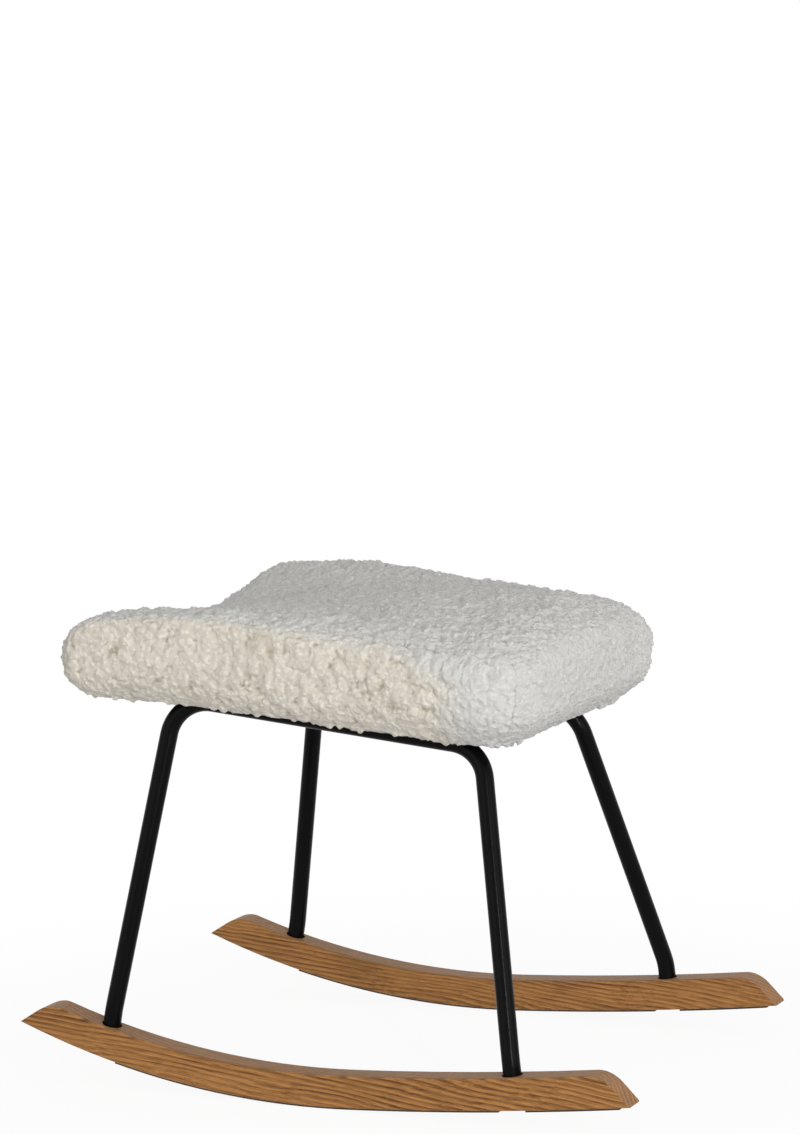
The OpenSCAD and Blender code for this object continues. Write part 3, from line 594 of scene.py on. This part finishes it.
def swellPad(thing, s):
    mesh = thing.data
    start = np.array([v.co[:] for v in mesh.vertices])
    held = thing.vertex_groups.new(name="held")
    base = start[:, 2].min() + s["held"] * mm
    held.add([i for i, p in enumerate(start) if p[2] < base], 1.0, "REPLACE")
    cloth = thing.modifiers.new("cloth", "CLOTH")
    settings = cloth.settings
    settings.quality = s["quality"]
    settings.mass = s["mass"]
    settings.tension_stiffness = s["stretch"]
    settings.compression_stiffness = s["stretch"]
    settings.shear_stiffness = s["shear"]
    settings.bending_stiffness = s["bend"]
    settings.use_pressure = True
    settings.uniform_pressure_force = s["pressure"]
    settings.vertex_group_mass = "held"
    settings.effector_weights.gravity = 0
    cloth.collision_settings.use_collision = False
    scene = bpy.context.scene
    cloth.point_cache.frame_start = 1
    cloth.point_cache.frame_end = s["frames"]
    for number in range(1, s["frames"] + 1):
        scene.frame_set(number)
    view = bpy.context.evaluated_depsgraph_get()
    swollen = np.array([v.co[:] for v in thing.evaluated_get(view).data.vertices])
    thing.modifiers.clear()
    scene.frame_set(1)
    move = swollen - start
    size = np.linalg.norm(move, axis=1, keepdims=True)
    cap = s["cap"] * mm
    move *= np.minimum(1, cap / np.maximum(size, 1e-9))
    for vertex, point in zip(mesh.vertices, start + move):
        vertex.co = point
    mesh.update()
    print("pad swollen by up to", round(float(np.minimum(size, cap).max() / mm), 1), "mm")


print("stuffing the pad")
stuffing3d = stuffedPad(stuffing)
stuffingTree = BVHTree.FromObject(stuffing3d, bpy.context.evaluated_depsgraph_get())

# curly pile: lengths in millimetres, one style for each way that it lies
curls = {
    "top": {"cell": 6.8, "tall": 3.0, "small": 3.0, "smallTall": 1.3, "warp": 3.0,
            "warpSize": 10.0, "stretch": 1.0, "lean": 1.0, "wave": 1.9, "sink": 2.8},
    "side": {"cell": 8.0, "tall": 3.3, "small": 3.4, "smallTall": 1.2, "warp": 3.4,
             "warpSize": 11.0, "stretch": 1.3, "lean": 1.3, "wave": 1.4, "sink": 3.0},
}


# distance to the nearest curls' middles, with rounded valleys between them
def softCell(place, sharp=7.0):
    near, centres = noise.voronoi(place)
    total = sum(math.exp(-sharp * d) for d in near)
    return -math.log(total) / sharp, near[0], centres[0]


# what both styles share
allCurls = {"twist": 1.3, "twistSize": 3.6, "sizeFrom": 0.6, "sizeSpan": 0.8, "clump": 0.8,
            "curl": 0.75, "turns": 9, "waveSize": 26.0, "sizeCap": 1.2, "clumpTip": 0.50,
            "curlTip": 0.36, "swirlTip": 0.08, "leastTip": 0.06, "swirlTall": 0.3}


# height of the curls at a point, and its share from pit to tip, which paints shade into the pits
def pileHeight(point, style):
    warp = noise.noise_vector(point / style["warpSize"]) * style["warp"]
    twist = noise.noise_vector(point / allCurls["twistSize"]) * allCurls["twist"]
    q = point + warp + twist
    flat = Vector((q.x, q.y, q.z / style["stretch"]))
    soft, near, centre = softCell(flat / style["cell"])
    size = allCurls["sizeFrom"] + allCurls["sizeSpan"] * (noise.noise(centre * 3.7) + 0.5)
    clump = max(0.0, 1 - (max(0.0, soft) / allCurls["clump"]) ** 2)
    spoke = flat / style["cell"] - centre
    turn = math.atan2(spoke.z + spoke.y, spoke.x)
    swirl = math.cos(turn + near * allCurls["turns"] + centre.x * 5)
    fine, _, _ = softCell((point + warp * 0.5 + twist) / style["small"])
    curl = max(0.0, 1 - (max(0.0, fine) / allCurls["curl"]) ** 2)
    wave = noise.noise(point / allCurls["waveSize"])
    share = (allCurls["clumpTip"] * clump * min(allCurls["sizeCap"], size)
             + allCurls["curlTip"] * curl + allCurls["swirlTip"] * (swirl + 1) / 2
             + allCurls["leastTip"])
    height = (style["tall"] * clump * size + style["smallTall"] * curl
              + allCurls["swirlTall"] * style["smallTall"] * swirl * clump
              + style["wave"] * wave)
    return height, share


def smooth(low, high, value):
    t = max(0.0, min(1.0, (value - low) / (high - low)))
    return t * t * (3 - 2 * t)


# the sides are painted creamier and brighter than the top, partly from the way the pile lies and partly
# painted light on the faces that look sideways, up to a slanting line before the low corners
creamAndLightLine = {"line": 92, "fall": 26, "fallFrom": 60, "fallTo": 150, "ripple": 8, "rippleSize": 22.0,
         "endFrom": 168, "endTo": 130, "endRipple": 10, "endSize": 18.0, "above": 14, "below": 18,
         "under": 0.8}


def sideCreamAndLightAt(point, normal):
    c = creamAndLightLine
    line = c["line"] - c["fall"] * smooth(c["fallFrom"], c["fallTo"], point.x)
    line += c["ripple"] * noise.noise(point / c["rippleSize"])
    shift = c["endRipple"] * noise.noise(point / c["endSize"] + Vector((5, 5, 5)))
    along = smooth(c["endFrom"], c["endTo"], point.x + shift)
    sideways = abs(normal.y) + max(0.0, -normal.z) * c["under"]
    lower = smooth(line + c["above"], line - c["below"], point.z)
    return smooth(0.1, 0.95, sideways) * along * lower


# height of the pad's lower edge at a place along it
def sagAt(x):
    a = max(-1.0, min(1.0, 2 * x / pad["length"]))
    return pad["hemRise"] * max(0.0, a) ** 2 - pad["hemSag"] * ((1 - a) / 2) ** pad["sagGrowth"]


# how the pile is laid: its spacing, its back, the seams and the tufts over the lower edge
laying = {"spacing": 1.3, "quickSpacing": 2.2, "inner": 8, "tuckOut": 1.1, "tuckIn": 0.9,
          "backOff": 1.5, "reach": 0.03, "puffRest": 2.5, "puffLow": -1.5, "puffHigh": 2.5,
          "puffShare": 0.6, "seamFrom": 1.5, "seamTo": 4.0, "under": 0.45, "underShare": 0.6,
          "underOut": 1.4, "leanSize": 6.5, "hangAbove": 2, "hangReach": 11.0, "hangFrom": 12,
          "hangTo": 27, "hang": 2.2, "tuft": 1.0, "tuftMore": 3.2, "tuftSize": 7.0,
          "tuftPatch": 16.0, "backTip": 0.3}


# how far a point of the lower edge hangs down, in uneven tufts
def hangAt(point, fromHem):
    low = point.z - laying["hangAbove"] - sagAt(point.x)
    share = math.exp(-(max(0.0, low) / laying["hangReach"]) ** 2)
    share *= smooth(laying["hangFrom"], laying["hangTo"], fromHem)
    tuft = smooth(-0.1, 0.5, noise.noise(point / laying["tuftSize"] + Vector((9, 9, 9))))
    uneven = smooth(-0.4, 0.4, noise.noise(point / laying["tuftPatch"]))
    return share * (laying["hang"] + (laying["tuft"] + laying["tuftMore"] * uneven) * tuft)


# a share of the top's style and of the sides' style of curls
def styleAt(point, normal):
    a, b = curls["top"], curls["side"]
    share = smooth(0.25, 0.85, abs(normal.y)) * smooth(175, 120, point.x)
    if share <= 0:
        return a
    if share >= 1:
        return b
    return {key: a[key] + (b[key] - a[key]) * share for key in a}


# a panel of fleece: a dense curly face over a coarse back, closed all round
def pilePanel(name, raw, flip, hems, material):
    spacing = laying["spacing"]
    inner = laying["inner"]
    grid = evened(raw, spacing)
    rows = (grid.shape[0] - 1) // inner * inner + 1
    columns = (grid.shape[1] - 1) // inner * inner + 1
    rowPick = np.linspace(0, grid.shape[0] - 1, rows).round().astype(int)
    columnPick = np.linspace(0, grid.shape[1] - 1, columns).round().astype(int)
    grid = grid[rowPick][:, columnPick]
    normals = gridNormals(grid, flip)
    tucked = np.zeros_like(grid)
    for edge, inside in ((np.s_[0], np.s_[1]), (np.s_[-1], np.s_[-2]),
                         (np.s_[:, 0], np.s_[:, 1]), (np.s_[:, -1], np.s_[:, -2])):
        out = grid[edge] - grid[inside]
        out /= np.maximum(np.linalg.norm(out, axis=-1, keepdims=True), 1e-9)
        tucked[edge] += out * laying["tuckOut"] - normals[edge] * laying["tuckIn"]
    flatGrid, flatNormals = grid.reshape(-1, 3), normals.reshape(-1, 3)
    flatTucked = tucked.reshape(-1, 3)
    outer = np.empty_like(flatGrid)
    pitShadeShare = np.empty(len(flatGrid))
    sideCreamAndLight = np.empty(len(flatGrid))
    rowOf, columnOf = np.divmod(np.arange(len(flatGrid)), columns)
    fromHem = np.minimum(rowOf, rows - 1 - rowOf if hems == 2 else rows) * spacing
    border = np.minimum(np.minimum(rowOf, rows - 1 - rowOf),
                        np.minimum(columnOf, columns - 1 - columnOf)) * spacing
    for i, (p, n) in enumerate(zip(flatGrid, flatNormals)):
        point, normal = Vector(p), Vector(n)
        hit = stuffingTree.ray_cast(point * mm, -normal, laying["reach"])
        gap = hit[3] / mm if hit[3] is not None else stuffing["inset"]
        puff = (stuffing["inset"] - laying["puffRest"] - gap) * laying["puffShare"]
        puff = max(laying["puffLow"], min(laying["puffHigh"], puff))
        style = styleAt(point, normal)
        height, tip = pileHeight(point, style)
        seam = min(1.0, (border[i] + laying["seamFrom"]) / laying["seamTo"])
        under = max(0.0, min(1.0, -(normal.z + laying["under"]) / laying["under"]))
        height *= 1 - laying["underShare"] * under
        swirl = noise.noise_vector(point / laying["leanSize"] + Vector((31, 7, 3)))
        lean = swirl * style["lean"] * seam
        lean -= normal * lean.dot(normal)
        lean.z -= hangAt(point, fromHem[i])
        move = normal * (puff + height - style["sink"] + under * laying["underOut"]) + lean
        outer[i] = p + np.array(move) + flatTucked[i]
        pitShadeShare[i] = tip
        sideCreamAndLight[i] = sideCreamAndLightAt(point, normal)
    back = (grid - normals * (pad["fleece"] - laying["backOff"]))[::inner, ::inner]
    backRows, backColumns = back.shape[:2]
    count = rows * columns
    index = np.arange(count).reshape(rows, columns)
    backIndex = count + np.arange(backRows * backColumns).reshape(backRows, backColumns)
    a, b = index[:-1, :-1].ravel(), index[:-1, 1:].ravel()
    c, d = index[1:, 1:].ravel(), index[1:, :-1].ravel()
    faces = np.stack([a, b, c, d] if flip else [a, d, c, b], -1).tolist()
    a, b = backIndex[:-1, :-1].ravel(), backIndex[:-1, 1:].ravel()
    c, d = backIndex[1:, 1:].ravel(), backIndex[1:, :-1].ravel()
    faces += np.stack([a, d, c, b] if flip else [a, b, c, d], -1).tolist()

    def close(outerLine, innerLine, turned):
        for k in range(len(innerLine) - 1):
            run = list(outerLine[k * inner:(k + 1) * inner + 1])
            loop = run + [innerLine[k + 1], innerLine[k]]
            faces.append([int(x) for x in (loop[::-1] if turned else loop)])

    close(index[0], backIndex[0], flip)
    close(index[-1], backIndex[-1], not flip)
    close(index[:, 0], backIndex[:, 0], not flip)
    close(index[:, -1], backIndex[:, -1], flip)
    points = np.concatenate([outer, back.reshape(-1, 3)])
    made = makeObject(name, placed(points), faces, material)
    # the pits' painted shade and the sides' painted light are stored as point attributes
    rest = np.full(backRows * backColumns, laying["backTip"])
    for label, values in (("pitShadeDepth", pitShadeShare), ("sideCreamAndLight", sideCreamAndLight)):
        layer = made.data.attributes.new(label, "FLOAT", "POINT")
        layer.data.foreach_set("value", np.concatenate([values, rest]))
    print(name, len(points), "points")
    return made


print("growing the pile")
mainPile = pilePanel("mainPile", mainRaw(), False, 2, topFleece)
nearPile = pilePanel("nearPile", sideRaw(-1), True, 1, sideFleece)
farPile = pilePanel("farPile", sideRaw(1), False, 1, sideFleece)
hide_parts("cover_main_panel")
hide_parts("cover_near_panel")
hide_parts("cover_far_panel")

# the foam: the stuffed form, cut level on the board and a little narrower than the cover
print("shaping the foam")
foamFaces = [list(p.vertices) for p in stuffing3d.data.polygons]
foamArray = np.array([v.co[:] for v in stuffing3d.data.vertices]) / mm
foamArray[:, 2] = np.maximum(foamArray[:, 2], pad["foamLevel"] + stuffing["foamGap"])
foamArray[:, :2] *= stuffing["foamShare"]
foamBlock = makeObject("foamBlock", placed(foamArray), foamFaces, seatFoam)
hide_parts("foam_pad")
bpy.data.objects.remove(stuffing3d)

# underneath: the black cloth with its wrinkles, and the staples that hold the hem
cloth = {"flats": 40, "turns": 5, "thick": 0.8, "gap": 0.05, "rings": 26, "rim": 0.96, "sag": 1.6,
         "taut": 60, "wrinkle": 2.2, "fineWrinkle": 0.8}


# the outline of the pad's base, drawn in by a share of the hem
def hemRing(share, level):
    way = edgeWay(cloth["flats"], cloth["turns"])
    low, high = (-1.0, -1.0), (1.0, 1.0)
    ring = [(u, low) for u in way] + [(high, v) for v in way[1:]]
    ring += [(u, high) for u in way[::-1][1:]] + [(low, v) for v in way[::-1][1:-1]]
    u = np.array([r[0] for r in ring], float)
    v = np.array([r[1] for r in ring], float)
    w = np.tile(low, (len(ring), 1))
    base = boxPoint(u, v, w)
    shrink = 1 - 2 * share * pad["hem"] / padWidth
    base[:, :2] *= shrink
    base[:, 2] = pad["boardLevel"]
    formed = padForm(base)
    formed[:, 2] = level
    return formed


def bottomCloth(c):
    rim = hemRing(c["rim"], pad["boardLevel"])
    count = len(rim)
    centre = rim.mean(axis=0)
    top, bottom = [], []
    for k in range(c["rings"]):
        share = 1 - k / c["rings"]
        for p in rim:
            q = centre + (p - centre) * share
            along = q[0] + pad["length"] / 2 - pad["overhang"]
            barY = mix(seat["highSpan"], seat["lowSpan"], along / seat["barLength"]) / 2
            clear = min(1.0, abs(abs(q[1]) - barY) / c["taut"])
            free = min(1.0, (1 - share) * 5) * clear
            wrinkle = noise.noise(Vector((q[0] / 45, q[1] / 18, 3))) ** 2 * c["wrinkle"]
            wrinkle += abs(noise.noise(Vector((q[0] / 14, q[1] / 30, 8)))) * c["fineWrinkle"]
            drop = free * (c["sag"] * min(1, (1 - share) * 1.5) + wrinkle)
            top.append((q[0], q[1], pad["boardLevel"] - c["gap"] - drop))
            bottom.append((q[0], q[1], pad["boardLevel"] - c["thick"] - drop))
    top.append((*centre[:2], pad["boardLevel"] - c["gap"] - c["sag"]))
    bottom.append((*centre[:2], pad["boardLevel"] - c["thick"] - c["sag"]))
    faces = []
    total = len(top)
    for base, turned in ((0, False), (total, True)):
        for k in range(c["rings"] - 1):
            for i in range(count):
                j = (i + 1) % count
                quad = [base + k * count + i, base + k * count + j,
                        base + (k + 1) * count + j, base + (k + 1) * count + i]
                faces.append(quad[::-1] if turned else quad)
        last = base + (c["rings"] - 1) * count
        for i in range(count):
            fan = [last + i, last + (i + 1) % count, base + total - 1]
            faces.append(fan[::-1] if turned else fan)
    for i in range(count):
        j = (i + 1) % count
        faces.append([i, total + i, total + j, j])
    made = makeObject("bottomSheet", placed(np.array(top + bottom)), faces, blackCloth)
    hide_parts("bottom_cloth")


print("stretching the bottom cloth")
bottomCloth(cloth)

staples = {"crown": 10.0, "wire": 0.7, "leg": 3.0, "every": 24.0, "uneven": 0.25, "turn": 0.2,
           "share": 0.86, "level": 4.6}


def boxFaces(base):
    return [[base + k for k in quad] for quad in (
        (0, 3, 2, 1), (4, 5, 6, 7), (0, 1, 5, 4), (1, 2, 6, 5), (2, 3, 7, 6), (3, 0, 4, 7))]


def stapleRow(s):
    ring = hemRing(s["share"], 0)
    closed = np.vstack([ring, ring[:1]])
    along = np.concatenate([[0], np.cumsum(np.linalg.norm(np.diff(closed, axis=0), axis=1))])
    points, faces = [], []
    count = int(along[-1] / s["every"])
    for k in range(count):
        at = (k + 0.5 + s["uneven"] * noise.noise(Vector((k * 1.7, 4, 4)))) * along[-1] / count
        middle = np.array([np.interp(at, along, closed[:, axis]) for axis in range(2)])
        ahead = np.array([np.interp(min(at + 2, along[-1]), along, closed[:, axis])
                          for axis in range(2)])
        way = (ahead - middle) / max(np.linalg.norm(ahead - middle), 1e-6)
        turn = s["turn"] * noise.noise(Vector((k * 2.3, 1, 9)))
        way = np.array([way[0] * math.cos(turn) - way[1] * math.sin(turn),
                        way[0] * math.sin(turn) + way[1] * math.cos(turn)])
        side = np.array([-way[1], way[0]])
        half, thick = s["crown"] / 2, s["wire"]
        for low, high, deep in ((-half, half, 0), (-half, -half + thick, 1), (half - thick, half, 1)):
            base = len(points)
            zLow, zHigh = (s["level"] - thick, s["level"]) if deep == 0 else (
                s["level"] - thick * 0.5, s["level"] + s["leg"])
            for z in (zLow, zHigh):
                for x, y in ((low, -thick / 2), (high, -thick / 2), (high, thick / 2), (low, thick / 2)):
                    q = middle + way * x + side * y
                    points.append((q[0], q[1], z))
            faces += boxFaces(base)
    makeObject("hemStaples", placed(np.array(points)), faces, zincPlate, False)


print("stapling the hem")
stapleRow(staples)

# welds where the cross tubes meet the bars
welds = {"bead": 1.5, "least": 0.85, "swell": 0.2, "wave": 2.4, "round": 8, "steps": 64,
         "inward": 0.5, "down": 0.2}


# a ring of tube round a closed path of points; the reference is parallel to none of its steps
def tubeRing(path, radii, sides):
    points, faces = [], []
    count = len(path)
    ahead = np.roll(path, -1, axis=0) - np.roll(path, 1, axis=0)
    ahead /= np.linalg.norm(ahead, axis=1, keepdims=True)
    reference = np.array([0.31, 0.17, 0.93])
    for k in range(count):
        first = np.cross(ahead[k], reference)
        first /= np.linalg.norm(first)
        second = np.cross(ahead[k], first)
        for s in range(sides):
            turn = 2 * math.pi * s / sides
            points.append(path[k] + radii[k] * (math.cos(turn) * first + math.sin(turn) * second))
    for k in range(count):
        after = (k + 1) % count
        for s in range(sides):
            t = (s + 1) % sides
            faces.append([k * sides + s, k * sides + t, after * sides + t, after * sides + s])
    return points, faces


def weldBeads(w):
    points, faces = [], []
    turn = math.atan2((seat["highSpan"] - seat["lowSpan"]) / 2, seat["barLength"])
    for along in seat["crossAlong"]:
        for side in (-1, 1):
            path, radii = [], []
            for k in range(w["steps"]):
                angle = 2 * math.pi * k / w["steps"]
                dx, dz = seat["cross"] * math.cos(angle), seat["cross"] * math.sin(angle)
                z = seat["tube"] - seat["cross"] + dz
                half = math.sqrt(max(0.0, seat["tube"] ** 2 - z * z))
                barY = mix(seat["highSpan"], seat["lowSpan"], (along + dx) / seat["barLength"]) / 2
                y = side * (barY - half / math.cos(turn) - w["inward"])
                path.append((along + dx, y, z - w["down"]))
                radii.append(w["bead"] * (w["least"] + w["swell"] * math.sin(k * w["wave"])))
            ring, ringFaces = tubeRing(np.array(path), radii, w["round"])
            base = len(points)
            points.extend(ring)
            faces += [[base + i for i in face] for face in ringFaces]
    makeObject("weldBeads", seatPlaced(np.array(points)), faces, blackCoat)


print("welding the frame")
weldBeads(welds)

# the room: a pale floor that keeps the shadow, and soft light from the front
room = {"size": 30.0, "floor": (0.88, 0.88, 0.88, 1), "white": 0.92, "fadeFrom": 0.3,
        "fadeTo": 0.8, "bounce": 0.5, "world": 0.6}

# name, place, target, size and watts
lights = [
    ("keyLight", (-1.2, -2.5, 1.0), (0, 0, 0.25), (2.4, 1.8), 9.5),
    ("fillLight", (2.6, -0.9, 0.7), (0, 0, 0.3), (2.0, 1.8), 17.0),
    ("stripLight", (1.9, -2.1, 0.75), (0, 0, 0.3), (0.22, 1.6), 38.0),
]


# one value where the camera, glossy or transmission rays look, another for the light
def lit(n, seen, unseen):
    path = n.add("ShaderNodeLightPath").outputs
    looked = n.math("MAXIMUM", path["Is Camera Ray"],
                    n.math("MAXIMUM", path["Is Glossy Ray"], path["Is Transmission Ray"]))
    return n.math("ADD", n.math("MULTIPLY", looked, seen - unseen), unseen)


# the floor is clear from below, so that the underside can be looked at
def makeFloor(r):
    material = bpy.data.materials.new("paleFloor")
    material.use_nodes = True
    tree = material.node_tree
    tree.nodes.clear()
    n = Nodes(tree)
    surface = n.add("ShaderNodeBsdfDiffuse", Color=r["floor"])
    glow = n.add("ShaderNodeEmission", Color=(1, 1, 1, 1))
    n.feed(glow.inputs["Strength"], lit(n, 1.0, r["bounce"]))
    both = n.tree.nodes.new("ShaderNodeMixShader")
    far = n.add("ShaderNodeVectorMath", {"operation": "LENGTH"},
                Vector=n.add("ShaderNodeTexCoord").outputs["Object"]).outputs["Value"]
    n.feed(both.inputs[0], n.ramp(far, r["fadeFrom"], r["fadeTo"], r["white"], 1.0))
    tree.links.new(surface.outputs[0], both.inputs[1])
    tree.links.new(glow.outputs[0], both.inputs[2])
    sided = n.tree.nodes.new("ShaderNodeMixShader")
    n.feed(sided.inputs[0], n.add("ShaderNodeNewGeometry").outputs["Backfacing"])
    tree.links.new(both.outputs[0], sided.inputs[1])
    tree.links.new(n.add("ShaderNodeBsdfTransparent").outputs[0], sided.inputs[2])
    end = tree.nodes.new("ShaderNodeOutputMaterial")
    tree.links.new(sided.outputs[0], end.inputs[0])
    half = r["size"] / 2
    mesh = bpy.data.meshes.new("paleFloor")
    mesh.from_pydata([(-half, -half, 0), (half, -half, 0), (half, half, 0), (-half, half, 0)], [],
                     [(0, 1, 2, 3)])
    mesh.materials.append(material)
    floor = bpy.data.objects.new("paleFloor", mesh)
    bpy.context.scene.collection.objects.link(floor)


def makeWorld(r):
    world = bpy.data.worlds.new("studio")
    bpy.context.scene.world = world
    world.use_nodes = True
    tree = world.node_tree
    tree.nodes.clear()
    n = Nodes(tree)
    sky = n.add("ShaderNodeBackground", Color=(1, 1, 1, 1))
    n.feed(sky.inputs["Strength"], lit(n, 1.0, r["world"]))
    end = tree.nodes.new("ShaderNodeOutputWorld")
    tree.links.new(sky.outputs[0], end.inputs[0])


def softLight(name, place, target, size, watts):
    data = bpy.data.lights.new(name, "AREA")
    data.shape = "RECTANGLE"
    data.size, data.size_y = size
    data.energy = watts
    made = bpy.data.objects.new(name, data)
    made.location = place
    made.rotation_mode = "QUATERNION"
    made.rotation_quaternion = (Vector(target) - Vector(place)).to_track_quat("-Z", "Y")
    bpy.context.scene.collection.objects.link(made)


print("lighting the room")
makeFloor(room)
makeWorld(room)
for light in lights:
    softLight(*light)
